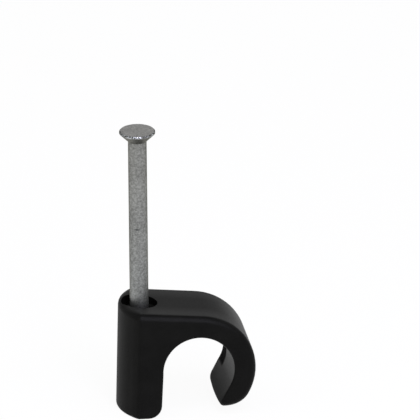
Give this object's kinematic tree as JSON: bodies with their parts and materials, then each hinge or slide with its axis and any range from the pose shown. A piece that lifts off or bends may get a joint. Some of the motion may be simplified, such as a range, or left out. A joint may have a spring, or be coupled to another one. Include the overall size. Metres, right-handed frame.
{
  "type": "nail-in cable clip",
  "caption": "Moulded plastic hook clip that holds a round cable to a wall, with a countersunk steel nail standing in its leg.",
  "frame": {"origin": "where the nail's axis meets the plane of the wall that the leg stands on", "axes": "+Z away from the wall, +X from the leg to the hook, Y along the cable"},
  "size_m": [0.0146, 0.0084, 0.0317],
  "materials": {
    "clip_plastic": "satin moulded",
    "nail_steel": "mottled zinc plating"
  },
  "bodies": {
    "root": {"clip_body": "clip_plastic", "nail": "nail_steel"}
  },
  "joints": []
}
